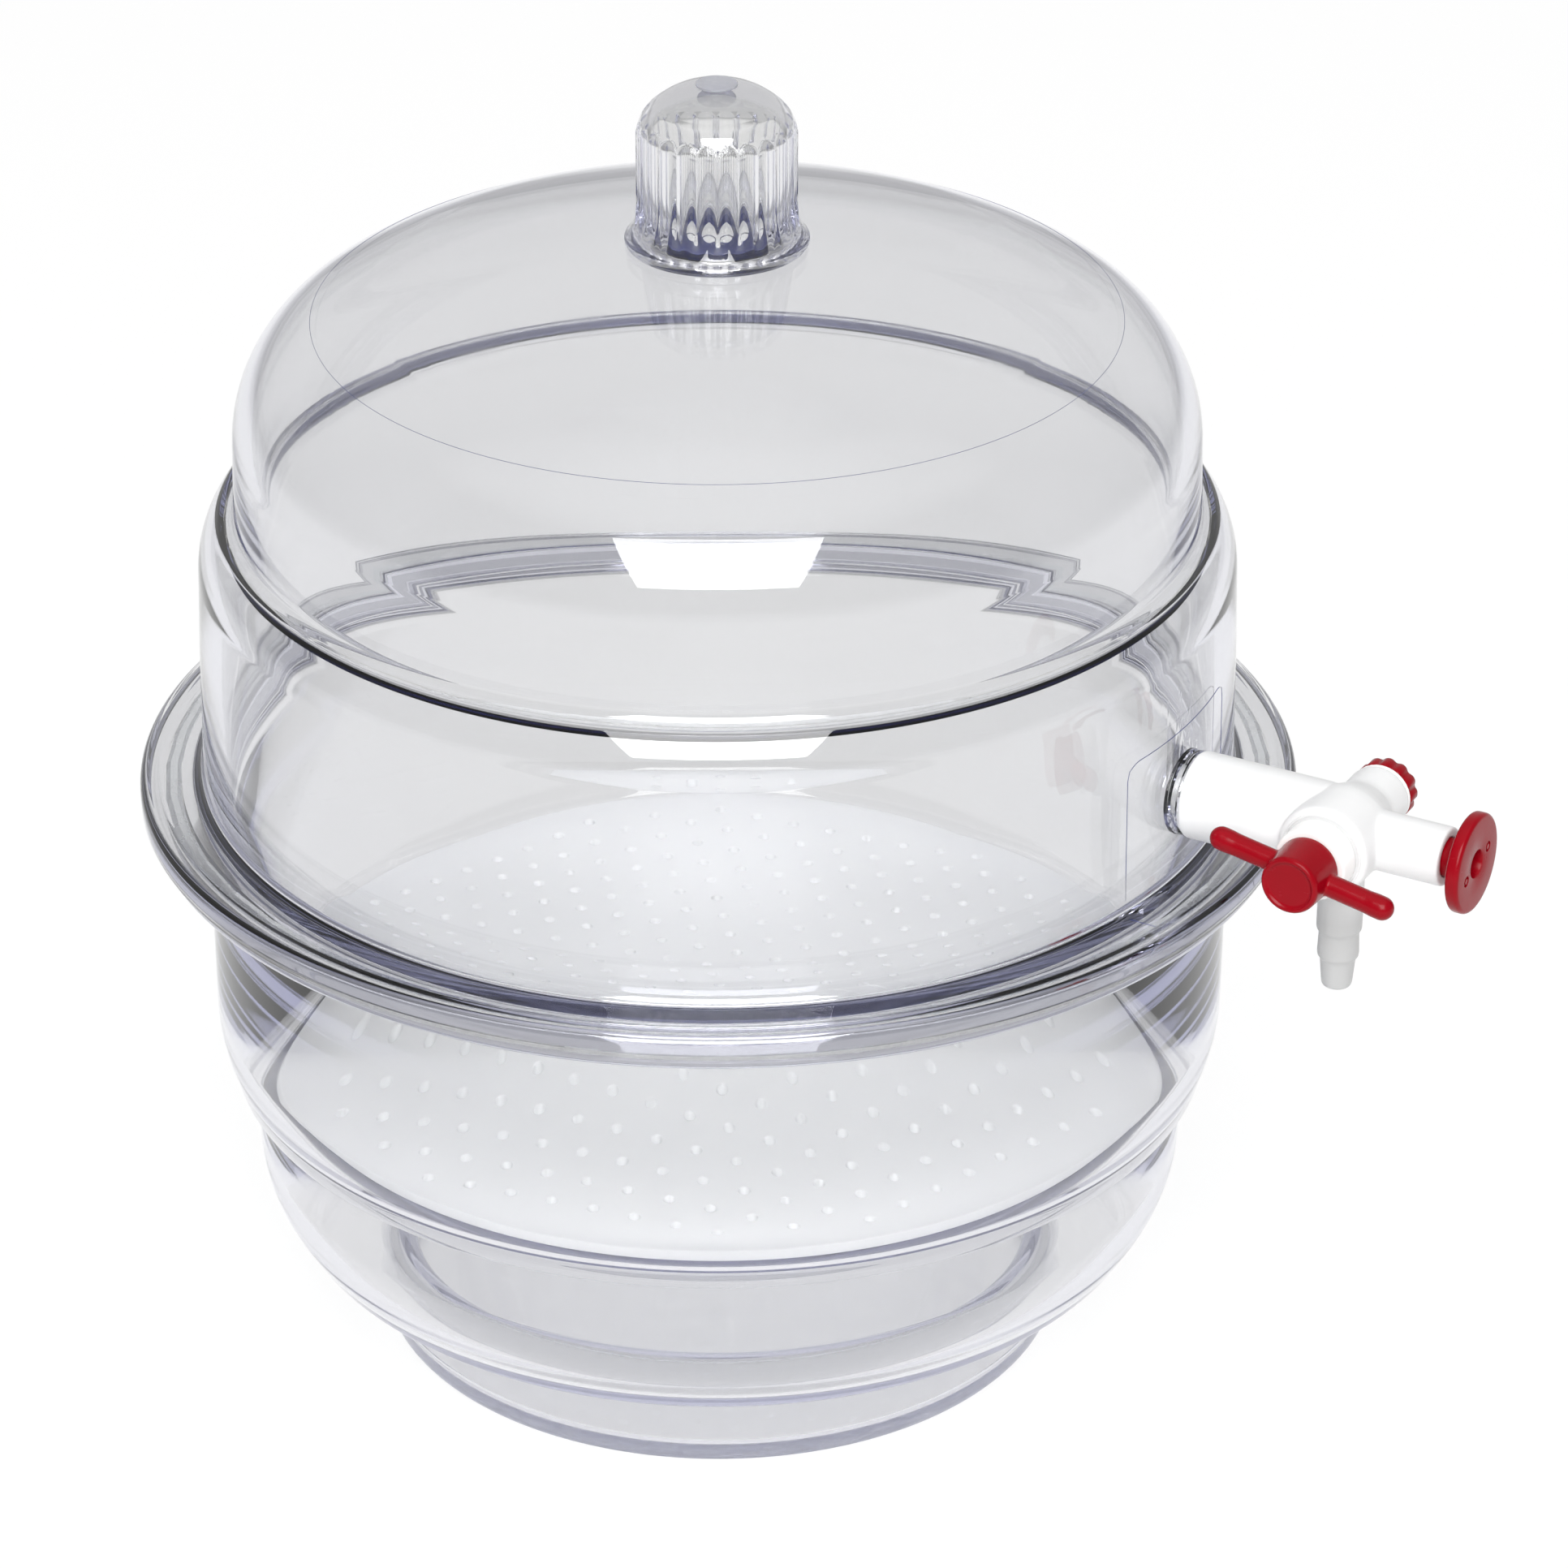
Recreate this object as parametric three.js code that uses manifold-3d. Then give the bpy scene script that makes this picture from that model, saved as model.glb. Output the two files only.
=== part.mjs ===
// Clear polycarbonate vacuum desiccator with a fluted lid knob, a perforated plate and a
// four-way stopcock.  Millimetres, right-handed, +Z up.  The origin is the centre of the flat
// foot; the stopcock port points along +X and its barrel lies along Y with the handle at -Y.
import * as THREE from 'three';
import { mergeVertices } from 'three/addons/utils/BufferGeometryUtils.js';
import Module from 'manifold-3d';

const wasm = await Module();
wasm.setup();

// ---- driving dimensions ----
const WALL = 5;                       // bowl and lid wall
const SEG = 48;                       // facets round the large turned pieces

// bowl
const FOOT_R = 91;
const FOOT_TOP = 31.5;                // underside of the lower bowl
const LOWER_R = 122.6;                // lower bowl, outer radius
const LOWER_BEND_Z = 55;              // where the lower bowl starts to curve in
const LOWER_BEND_R = 32;
const LEDGE_Z = 81.3;                 // shelf that carries the plate
const UPPER_R = 132.4;                // upper bowl, outer radius
const UPPER_BEND_Z = 95;
const UPPER_BEND_R = 35;
const RIM_Z = 155.7;                  // top of the bowl flange
const RIM_R = 148.2;

// flange seal
const SEAL_R = 141;
const GROOVE_W = 4.4;
const GROOVE_FLOOR = 153;

// lid
const LID_FACE = 156;                 // sealing face
const FLANGE_TOP = 161;
const FLANGE_R = 149.8;
const SKIRT_IN = 148.8;
const SKIRT_END = 154.6;
const BARREL_R = 132.8;               // lid side wall, outer radius
const STEP_R = 127;                   // outer edge of the step under the dome
const STEP_Z = 231.5;
const STEP_ARC = 20;                   // radius of the curve below the step
const STEP_BASE = 218;
const DOME_R = 122.5;
const DOME_BEND = 34.5;               // radius of the dome's shoulder
const DOME_BEND_Z = 252.5;
const CROWN_TOP = 304;
const CROWN_ARC = 270;
const CROWN_SLOPE = 22.2;             // degrees, where crown and shoulder meet
const NOTCH_DEG = -74.5;              // pry notch in the skirt

// knob
const KNOB_R = 20.1;
const KNOB_BEAD_R = 23.2;
const KNOB_TOP = 343;
const KNOB_FLUTES = 24;
const KNOB_CAVITY = 16.4;             // radius of the hollow inside the knob
const FLUTE_DEPTH = 0.9;

// plate
const PLATE_R = 120.5;
const PLATE_T = 2.7;
const PLATE_PITCH = 24;
const PLATE_HOLE_R = 4;
const PLATE_HOLE_LIMIT = 111;
const PLATE_TURN = 9;                 // degrees, hole rows against the port axis

// stopcock, measured along the port axis unless a name says otherwise
const PORT_Z = 183;
const PORT_BORE = 6.8;
const BOSS_R = 11;
const BOSS_END = 136;
const SPIGOT_R = 6.3;
const SPIGOT_START = 127.4;
const ARM_START = 136.3;
const ARM_R = 11.15;
const VALVE_X = 176.6;
const VENT_END = 204.6;
const VENT_R = 7.5;
const FACE_Y = -13.3;                 // front face of the barrel
const TAIL_Y = 21.2;                  // rear face of the barrel
const BARREL_FRONT_R = 12;
const BARREL_REAR_R = 8.25;
const PLUG_FRONT_R = 7.4;
const PLUG_REAR_R = 5.4;
const PASSAGE_R = 2.5;
const THREAD_R = 3.6;
const HANDLE_DEG = 10.5;              // handle against the port axis at rest
const HANDLE_FRONT_Y = -32.9;
const HANDLE_REAR_Y = -19.7;
const HANDLE_ARM_Y = -25;
const HANDLE_HALF = 24.9;
const HANDLE_ARM_R = 3;
const NUT_R = 8;
const NUT_LOBES = 12;
const LOBE_DEPTH = 0.55;
const BARB_TIP = 43.3;                // below the port axis

// vent screw
const SCREW_FACE = 212.2;
const SCREW_HEAD_T = 3.5;
const SCREW_HEAD_R = 12.75;
const SCREW_R = 4.95;
const SCREW_TIP = 190.5;

const PAINT = {
  clear_polycarbonate: { color: 0xdfe3e8, roughness: 0.08 },
  white_polypropylene: { color: 0xf3f4f4, roughness: 0.4 },
  natural_polypropylene: { color: 0xe4e8ea, roughness: 0.45 },
  white_ptfe: { color: 0xf7f7f5, roughness: 0.5 },
  red_polypropylene: { color: 0xb0061c, roughness: 0.35 },
  clear_silicone: { color: 0xd8dcdf, roughness: 0.4 },
  black_rubber: { color: 0x1b1b1d, roughness: 0.7 },
};

// ---- helpers ----
const rad = THREE.MathUtils.degToRad;

// Points on a circle in the (radius, height) plane; angles in degrees from the +radius axis.
function arc(r, z, radius, from, to, steps) {
  const points = [];
  for (let i = 0; i <= steps; i += 1) {
    const angle = rad(from + ((to - from) * i) / steps);
    points.push([r + radius * Math.cos(angle), z + radius * Math.sin(angle)]);
  }
  return points;
}

const bare = (geometry) => {
  geometry.deleteAttribute('normal');
  geometry.deleteAttribute('uv');
  return mergeVertices(geometry);
};

// Turn a profile about Z.  It runs anticlockwise with radius to the right and height up, and
// either starts and ends on the axis or closes on itself.  `shape` may vary the radius.
function revolve(profile, segments = SEG, shape = null) {
  const closed = profile[0][0] > 0;
  const points = (closed ? [...profile, profile[0]] : profile).map(([r, z]) => new THREE.Vector2(r, z));
  const geometry = bare(new THREE.LatheGeometry(points, segments)).rotateX(Math.PI / 2);
  if (shape) {
    const spot = new THREE.Vector3();
    const position = geometry.attributes.position;
    for (let i = 0; i < position.count; i += 1) {
      spot.fromBufferAttribute(position, i);
      const radius = Math.hypot(spot.x, spot.y);
      const scale = radius > 0 ? shape(radius, spot.z, Math.atan2(spot.y, spot.x)) / radius : 1;
      position.setXYZ(i, spot.x * scale, spot.y * scale, spot.z);
    }
  }
  return geometry;
}

function toSolid(geometry) {
  return new wasm.Manifold(new wasm.Mesh({
    numProp: 3,
    vertProperties: new Float32Array(geometry.attributes.position.array),
    triVerts: new Uint32Array(geometry.index.array),
  }));
}

const union = (...solids) => solids.reduce((sum, solid) => sum.add(solid));
const cut = (solid, ...tools) => tools.reduce((rest, tool) => rest.subtract(tool), solid);

// A turned piece about the main axis: heights are Z.
const turned = (profile, segments, shape) => toSolid(revolve(profile, segments, shape));

// A turned piece about the port axis: heights are X.
function turnedX(profile, segments = 28) {
  return toSolid(revolve(profile, segments).rotateY(Math.PI / 2).translate(0, 0, PORT_Z));
}

// A turned piece about the valve's axis: heights are Y.  `turn` is about that axis, in degrees.
function turnedY(profile, segments = 32, shape = null, turn = 0) {
  const geometry = revolve(profile, segments, shape).rotateX(-Math.PI / 2).rotateY(rad(turn));
  return toSolid(geometry.translate(VALVE_X, 0, PORT_Z));
}

// A bar across the valve's axis, turned with the handle: heights run from the axis outwards.
function crossBar(profile, y, segments = 20) {
  const geometry = revolve(profile, segments).rotateY(Math.PI / 2 + rad(HANDLE_DEG));
  return toSolid(geometry.translate(VALVE_X, y, PORT_Z));
}

// Sections: a solid rod and a tube between two heights.
const rod = (radius, from, to) => [[0, from], [radius, from], [radius, to], [0, to]];
const tube = (outer, inner, from, to) => [
  [inner, from], [outer, from], [outer, to], [inner, to],
];

// A ring of soft section, wider than it is tall.
function softRing(r, z, halfWidth, halfHeight, steps = 6) {
  const points = [];
  for (let i = 0; i < steps; i += 1) {
    const angle = (2 * Math.PI * i) / steps;
    points.push([r + halfWidth * Math.cos(angle), z + halfHeight * Math.sin(angle)]);
  }
  return points;
}

function node(name, slot, solid) {
  const source = solid.getMesh();
  const geometry = new THREE.BufferGeometry();
  geometry.setAttribute('position', new THREE.Float32BufferAttribute(source.vertProperties, 3));
  geometry.setIndex(Array.from(source.triVerts));
  const material = new THREE.MeshStandardMaterial({ name: slot, metalness: 0, ...PAINT[slot] });
  const mesh = new THREE.Mesh(geometry, material);
  mesh.name = name;
  return mesh;
}

// ---- bowl ----
function baseBowl() {
  const lowerC = LOWER_R - LOWER_BEND_R;
  const upperC = UPPER_R - UPPER_BEND_R;
  const outside = [
    [0, 0], [FOOT_R - 1, 0], [FOOT_R, 1], [FOOT_R + 3.4, FOOT_TOP - 2.5], [FOOT_R + 6, FOOT_TOP],
    ...arc(110.4, FOOT_TOP + 6, 6, -90, -36, 2),
    ...arc(lowerC, LOWER_BEND_Z, LOWER_BEND_R, -34, 0, 3),
    [LOWER_R, 74], [LOWER_R + 2, 76.2], [UPPER_R - 6.2, 76.3], [UPPER_R - 3.7, 78],
    ...arc(upperC, UPPER_BEND_Z, UPPER_BEND_R, -24, 0, 2),
    [UPPER_R + 0.4, 147], [UPPER_R + 3, 150.4],
    [RIM_R - 2.2, 150.4], [RIM_R, 152], [RIM_R, RIM_Z - 0.4], [RIM_R - 0.4, RIM_Z],
  ];
  const groove = [
    [SEAL_R + GROOVE_W / 2, RIM_Z], [SEAL_R + GROOVE_W / 2, GROOVE_FLOOR],
    [SEAL_R - GROOVE_W / 2, GROOVE_FLOOR], [SEAL_R - GROOVE_W / 2, RIM_Z],
  ];
  const inside = [
    [UPPER_R - WALL + 0.8, RIM_Z],
    ...arc(upperC, UPPER_BEND_Z, UPPER_BEND_R - WALL, 0, -20, 2),
    [UPPER_R - 8.5, LEDGE_Z + 0.6], [UPPER_R - 9.6, LEDGE_Z],
    [LOWER_R - WALL, LEDGE_Z],
    ...arc(lowerC, LOWER_BEND_Z, LOWER_BEND_R - WALL, 0, -36, 3),
    [107.5, FOOT_TOP + WALL], [FOOT_R + 1.5, FOOT_TOP + WALL], [FOOT_R - 1.2, FOOT_TOP + 2.6],
    [FOOT_R - 4.6, WALL + 2.5], [FOOT_R - 7, WALL], [0, WALL],
  ];
  return node('base_bowl', 'clear_polycarbonate', turned([...outside, ...groove, ...inside]));
}

function flangeORing() {
  const top = LID_FACE - 0.1;
  const bottom = GROOVE_FLOOR + 0.1;
  const section = softRing(SEAL_R, (top + bottom) / 2, 1.9, (top - bottom) / 2);
  return node('flange_o_ring', 'clear_silicone', turned(section));
}

// ---- plate ----
function perforatedPlate() {
  const outline = new THREE.Shape();
  outline.absarc(0, 0, PLATE_R, 0, 2 * Math.PI);
  const rows = Math.ceil(PLATE_R / PLATE_PITCH) + 1;
  for (let i = -rows; i <= rows; i += 1) {
    for (let j = -rows; j <= rows; j += 1) {
      const spot = new THREE.Vector2(PLATE_PITCH * (i + j / 2), PLATE_PITCH * j * Math.sqrt(0.75));
      if (spot.length() > PLATE_HOLE_LIMIT) continue;
      spot.rotateAround(new THREE.Vector2(), rad(PLATE_TURN));
      const hole = new THREE.Path();
      for (let k = 0; k < 6; k += 1) {
        const angle = rad(60 * k + PLATE_TURN);
        const x = spot.x + PLATE_HOLE_R * Math.cos(angle);
        const y = spot.y + PLATE_HOLE_R * Math.sin(angle);
        if (k === 0) hole.moveTo(x, y);
        else hole.lineTo(x, y);
      }
      hole.closePath();
      outline.holes.push(hole);
    }
  }
  const options = { depth: PLATE_T, bevelEnabled: false, curveSegments: 28 };
  const geometry = new THREE.ExtrudeGeometry(outline, options);
  const body = toSolid(bare(geometry.translate(0, 0, LEDGE_Z + 0.1)));
  return node('perforated_plate', 'natural_polypropylene', body);
}

// ---- lid ----
function lidSection() {
  const shoulderC = DOME_R - DOME_BEND;
  const crownC = CROWN_TOP - CROWN_ARC;
  const stepC = BARREL_R - 0.4 - STEP_ARC;
  const stepEnd = THREE.MathUtils.radToDeg(Math.acos((STEP_R - stepC) / STEP_ARC));
  const inside = [
    [0, CROWN_TOP - WALL],
    ...arc(0, crownC, CROWN_ARC - WALL, 84, 68.4, 2),
    ...arc(shoulderC, DOME_BEND_Z, DOME_BEND - WALL, 60, 0, 4),
    [DOME_R - WALL + 0.4, STEP_Z - 3], [DOME_R - 2.6, STEP_Z - 5],
    ...arc(stepC, STEP_BASE, STEP_ARC - WALL, stepEnd - 6, 0, 2),
    [UPPER_R - WALL + 0.8, LID_FACE],
  ];
  const outside = [
    [SKIRT_IN, LID_FACE], [SKIRT_IN, SKIRT_END],
    [FLANGE_R - 0.3, SKIRT_END], [FLANGE_R, SKIRT_END + 0.3],
    ...arc(FLANGE_R - 2.4, FLANGE_TOP - 2.8, 2.4, 0, 90, 2),
    [FLANGE_R - 4.4, FLANGE_TOP - 0.4], [FLANGE_R - 5.5, FLANGE_TOP],
    [BARREL_R + 3.6, FLANGE_TOP], [BARREL_R + 1.3, FLANGE_TOP + 1],
    [BARREL_R + 0.4, FLANGE_TOP + 3.4],
    ...arc(stepC, STEP_BASE, STEP_ARC, 0, stepEnd, 3),
    [DOME_R + 1.7, STEP_Z - 0.3], [DOME_R + 0.6, STEP_Z + 1.6],
    ...arc(shoulderC, DOME_BEND_Z, DOME_BEND, 0, 90 - CROWN_SLOPE, 5),
    ...arc(0, crownC, CROWN_ARC, 74, 84, 2),
    [0, CROWN_TOP],
  ];
  return [...inside, ...outside];
}

function portBoss() {
  return turnedX([
    [0, 129.5], [BOSS_R, 129.5], [BOSS_R, 133.9], [BOSS_R - 0.8, 134.2], [BOSS_R - 0.8, 134.6],
    [BOSS_R - 0.1, 134.9], [BOSS_R - 0.1, BOSS_END - 0.3], [BOSS_R - 0.4, BOSS_END], [0, BOSS_END],
  ]);
}

function skirtNotch() {
  const notch = new THREE.BoxGeometry(6, 8, 2).translate(FLANGE_R, 0, SKIRT_END + 0.4);
  return toSolid(bare(notch).rotateZ(rad(NOTCH_DEG)));
}

function lidDome() {
  const knobSeat = turned(tube(16.1, 13, CROWN_TOP - 3.5, CROWN_TOP + 2.5), 48);
  const shell = union(turned(lidSection()), portBoss(), knobSeat);
  const solid = cut(shell, turnedX(rod(PORT_BORE, 120, 140)), skirtNotch());
  return node('lid_dome', 'clear_polycarbonate', solid);
}

function lidKnob() {
  const base = CROWN_TOP;
  const shoulder = KNOB_TOP - 9;
  const cavity = KNOB_CAVITY;
  const hollow = [
    [0, base - 2], [cavity, base - 2], [cavity, shoulder - 3], [cavity - 1.5, shoulder + 1],
    [cavity - 6, shoulder + 3.5], [0, shoulder + 4],
  ];
  const section = [
    [0, base - 0.2], [cavity, base - 0.2], [KNOB_BEAD_R - 0.6, base - 0.6],
    [KNOB_BEAD_R, base + 0.3], [KNOB_BEAD_R, base + 1.2],
    [KNOB_BEAD_R - 0.8, base + 2], [KNOB_R + 1, base + 3], [KNOB_R + 0.2, base + 6.5],
    [KNOB_R, base + 11], [KNOB_R, shoulder], ...arc(KNOB_R - 9, shoulder, 9, 20, 56, 2),
    [KNOB_R - 4.5, KNOB_TOP - 1.9], [0, KNOB_TOP],
  ];
  const flute = (r, z, angle) => {
    if (r < cavity + 1 || z < base + 7 || z > shoulder + 6) return r;
    const fade = THREE.MathUtils.smoothstep(shoulder + 6 - z, 0, 6);
    return r - FLUTE_DEPTH * fade * (0.5 - 0.5 * Math.cos(KNOB_FLUTES * angle));
  };
  const solid = cut(turned(section, KNOB_FLUTES * 4, flute), turned(hollow, 24));
  return node('lid_knob', 'clear_polycarbonate', solid);
}

// ---- stopcock ----
function stopcockBody() {
  const arm = turnedX([
    [0, SPIGOT_START], [SPIGOT_R - 0.4, SPIGOT_START], [SPIGOT_R, SPIGOT_START + 0.4],
    [SPIGOT_R, 129.6], [SPIGOT_R - 1.3, 129.6], [SPIGOT_R - 1.3, 132.6], [SPIGOT_R, 132.6],
    [SPIGOT_R, ARM_START], [ARM_R - 0.5, ARM_START], [ARM_R, ARM_START + 0.5],
    [ARM_R, VALVE_X - 7], [ARM_R - 2, VALVE_X], [0, VALVE_X],
  ]);
  const ventArm = turnedX([
    [0, VALVE_X], [VENT_R, VALVE_X], [VENT_R, VENT_END - 0.5], [VENT_R - 0.5, VENT_END],
    [0, VENT_END],
  ]);
  const barrel = turnedY([
    [0, FACE_Y], [BARREL_FRONT_R - 1.2, FACE_Y], [BARREL_FRONT_R - 0.3, FACE_Y + 0.5],
    [BARREL_FRONT_R, FACE_Y + 1.4], [BARREL_FRONT_R, 0], [BARREL_FRONT_R - 0.9, 3.5],
    [BARREL_REAR_R, 11], [BARREL_REAR_R, TAIL_Y - 0.4], [BARREL_REAR_R - 0.4, TAIL_Y],
    [0, TAIL_Y],
  ]);
  const barb = toSolid(revolve([
    [0, -BARB_TIP], [3.3, -BARB_TIP], [3.8, 0.7 - BARB_TIP], [4.45, -34.8], [5.2, -34.1],
    [5.1, -27.7], [5.65, -27], [5.75, -12], [6.6, -8.5], [0, -8.5],
  ], 28).translate(VALVE_X, 0, PORT_Z));
  const drain = toSolid(revolve(rod(2.2, -BARB_TIP - 1, -4), 16).translate(VALVE_X, 0, PORT_Z));
  const plugBore = turnedY([
    [0, FACE_Y - 1], [PLUG_FRONT_R + 0.1, FACE_Y - 1], [PLUG_FRONT_R + 0.1, FACE_Y],
    [PLUG_REAR_R + 0.1, TAIL_Y], [PLUG_REAR_R + 0.1, TAIL_Y + 1], [0, TAIL_Y + 1],
  ]);
  const solid = cut(
    union(arm, ventArm, barrel, barb),
    plugBore,
    drain,
    turnedX(rod(PASSAGE_R, SPIGOT_START - 1, VALVE_X - 4), 20),
    turnedX(rod(PASSAGE_R, VALVE_X + 4, 188), 20),
    turnedX(rod(SCREW_R + 0.1, 186, VENT_END + 1)),
  );
  return node('stopcock_body', 'white_polypropylene', solid);
}

function portORing() {
  const section = softRing(SPIGOT_R - 0.35, 131.1, 0.8, 1.3);
  return node('port_o_ring', 'black_rubber', turnedX(section, 24));
}

function valvePlug() {
  const head = turnedY([
    [0, -20.6], [8.9, -20.6], [9.4, -20.1], [9.4, FACE_Y - 0.7], [9, FACE_Y - 0.3],
    [PLUG_FRONT_R, FACE_Y - 0.3], [PLUG_FRONT_R, FACE_Y],
    [PLUG_REAR_R + 0.06, TAIL_Y - 0.8], [THREAD_R, TAIL_Y - 0.8], [THREAD_R, 28.2], [0, 28.2],
  ]);
  const tang = turnedY(rod(5.1, -27, -20), 4, null, HANDLE_DEG + 45);
  const through = crossBar(rod(PASSAGE_R - 0.1, -12, 12), 0, 16);
  const down = revolve(rod(PASSAGE_R - 0.1, -12, 0), 16).rotateY(rad(HANDLE_DEG));
  const branch = toSolid(down.translate(VALVE_X, 0, PORT_Z));
  return node('valve_plug', 'white_ptfe', cut(union(head, tang), through, branch));
}

function plugHandle() {
  const front = HANDLE_FRONT_Y;
  const hub = turnedY([
    [0, front + 0.6], [5.9, front + 0.6], [6.1, front], [7.1, front], [7.6, front + 0.5],
    [8, HANDLE_REAR_Y - 1.2], [0, HANDLE_REAR_Y - 1.2],
  ]);
  const tip = HANDLE_HALF - HANDLE_ARM_R;
  const bar = crossBar([
    ...arc(0, -tip, HANDLE_ARM_R, -90, 0, 3), [HANDLE_ARM_R - 0.15, 2 - tip],
    [HANDLE_ARM_R - 0.15, tip - 2], ...arc(0, tip, HANDLE_ARM_R, 0, 90, 3),
  ].map(([r, z]) => [Math.abs(r) < 1e-9 ? 0 : r, z]), HANDLE_ARM_Y);
  const socket = turnedY(rod(5.6, -27.3, HANDLE_REAR_Y + 1), 4, null, HANDLE_DEG + 45);
  return node('plug_handle', 'red_polypropylene', cut(union(hub, bar), socket));
}

function tensionWasher() {
  const section = tube(BARREL_REAR_R - 0.3, THREAD_R + 0.25, TAIL_Y + 0.3, TAIL_Y + 1.1);
  return node('tension_washer', 'white_ptfe', turnedY(section));
}

function tensionORing() {
  const section = softRing(THREAD_R + 1.25, TAIL_Y + 2.2, 0.95, 0.85);
  return node('tension_o_ring', 'black_rubber', turnedY(section, 24));
}

function retainingNut() {
  const near = TAIL_Y + 1.4;
  const far = TAIL_Y + 6.2;
  const lobes = (r, y, angle) => {
    if (r < NUT_R - 0.7) return r;
    return r - LOBE_DEPTH * (0.5 - 0.5 * Math.cos(NUT_LOBES * angle));
  };
  const section = [
    [6, near], [NUT_R - 0.3, near], [NUT_R, near + 0.4], [NUT_R, far - 0.5], [NUT_R - 0.5, far],
    [THREAD_R + 0.15, far], [THREAD_R + 0.15, near + 1.9], [6, near + 1.9],
  ];
  return node('retaining_nut', 'red_polypropylene', turnedY(section, NUT_LOBES * 4, lobes));
}

// ---- vent screw ----
function ventScrew() {
  const rear = SCREW_FACE - SCREW_HEAD_T;
  const solid = turnedX([
    [0, SCREW_TIP], [2.2, SCREW_TIP], [3.7, SCREW_TIP + 1.5], [SCREW_R, SCREW_TIP + 1.5],
    [SCREW_R, SCREW_TIP + 2.4], [3.7, SCREW_TIP + 2.4], [3.7, SCREW_TIP + 4.8],
    [SCREW_R, SCREW_TIP + 4.8], [SCREW_R, rear], [SCREW_HEAD_R - 0.7, rear],
    [SCREW_HEAD_R, rear + 0.8], [SCREW_HEAD_R, SCREW_FACE - 0.9], [SCREW_HEAD_R - 0.9, SCREW_FACE],
    [3.6, SCREW_FACE], [3.4, SCREW_FACE - 0.3], [3.4, rear - 1.5], [0, rear - 1.5],
  ]);
  return node('vent_screw', 'red_polypropylene', solid);
}

function ventORing() {
  const section = softRing(SCREW_R - 0.57, SCREW_TIP + 3.6, 0.58, 1.05);
  return node('vent_o_ring', 'black_rubber', turnedX(section, 24));
}

const part = new THREE.Group();
part.name = 'glass_desiccator';
part.add(
  baseBowl(), flangeORing(), perforatedPlate(), lidDome(), lidKnob(), stopcockBody(),
  portORing(), valvePlug(), plugHandle(), tensionWasher(), tensionORing(), retainingNut(),
  ventScrew(), ventORing(),
);

export default part;
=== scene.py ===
# Looks of the clear vacuum desiccator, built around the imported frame.
# Sizes are in millimetres in the profiles and turned into metres by the mesh builders.
import math

import bpy
from mathutils import Matrix, Vector

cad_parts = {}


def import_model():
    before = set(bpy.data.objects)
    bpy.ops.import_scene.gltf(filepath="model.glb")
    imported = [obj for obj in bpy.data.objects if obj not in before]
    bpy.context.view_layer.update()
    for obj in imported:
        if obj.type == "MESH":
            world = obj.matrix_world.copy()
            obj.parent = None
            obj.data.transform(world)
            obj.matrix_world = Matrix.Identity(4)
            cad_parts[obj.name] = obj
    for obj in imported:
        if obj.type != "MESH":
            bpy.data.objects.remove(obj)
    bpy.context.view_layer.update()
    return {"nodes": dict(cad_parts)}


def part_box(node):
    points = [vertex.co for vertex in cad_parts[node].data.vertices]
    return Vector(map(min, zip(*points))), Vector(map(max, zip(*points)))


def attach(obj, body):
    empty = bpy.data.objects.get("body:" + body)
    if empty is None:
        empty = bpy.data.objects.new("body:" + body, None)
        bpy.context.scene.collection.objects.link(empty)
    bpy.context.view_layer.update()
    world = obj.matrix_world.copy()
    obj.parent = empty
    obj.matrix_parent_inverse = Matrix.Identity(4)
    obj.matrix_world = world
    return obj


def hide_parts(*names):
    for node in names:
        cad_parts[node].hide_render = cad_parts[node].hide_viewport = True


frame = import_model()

MM = 0.001
FINE = 256               # facets round the large clear pieces

# ---- places taken from the frame, in millimetres ----
SCREW_LOW, SCREW_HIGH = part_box("vent_screw")
HANDLE_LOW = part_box("plug_handle")[0]
NUT_LOW, NUT_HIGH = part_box("retaining_nut")
PLATE_LOW, PLATE_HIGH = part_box("perforated_plate")
PORT_Z = (SCREW_LOW[2] + SCREW_HIGH[2]) / 2 / MM
VALVE_X = (NUT_LOW[0] + NUT_HIGH[0]) / 2 / MM

# ---- driving dimensions ----
WALL = 5
FOOT_R = 91
FOOT_TOP = 31.5
WELL_FLOOR = 3.5
FOOT_CORNER = 3
WELL_CORNER = 4
WELL_LIP = 10            # radius of the inner lip from the well to the lower bowl
LOWER_R = 122.6
LOWER_BEND_Z = 55
LOWER_BEND_R = 32
LEDGE_Z = 81.3
UPPER_R = 132.4
UPPER_BEND_Z = 95
UPPER_BEND_R = 35
RIM_Z = 155.7
RIM_R = 148.2
SEAL_R = 141
GROOVE_W = 4.4
GROOVE_FLOOR = 153
LID_FACE = 156
FLANGE_TOP = 161
FLANGE_R = 149.8
SKIRT_IN = 148.8
SKIRT_END = 154.6
SIDE_R = 132.8
STEP_R = 127
STEP_Z = 231.5
STEP_ARC = 20
STEP_BASE = 218
STEP_FILLET = 2.5
DOME_R = 122.5
DOME_BEND = 34.5
DOME_BEND_Z = 252.5
CROWN_TOP = 304.24
CROWN_ARC = 280
CROWN_AT_KNOB = 304      # height of the crown where the knob's bead stands on it
BLEND_START = 60         # degrees: the shoulder meets the crown in an arc between these two
BLEND_END = 71.5
BLEND_C = 60.25
BLEND_Z = 204.44
BLEND_R = 90
WITNESS_DEG = 62.4       # where the mould line runs round the crown
KNOB_R = 20.1
KNOB_BEAD_R = 23.2
KNOB_CROWN = 345.6
KNOB_SHOULDER = 332
KNOB_FLUTES = 24
FLUTE_DEPTH = 1.5
FLUTE_LOW = 3.5          # the flutes start this far above the crown
FLUTE_HIGH = 4.5         # and end this far above the knob's shoulder
KNOB_CAVITY = 16.4
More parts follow.
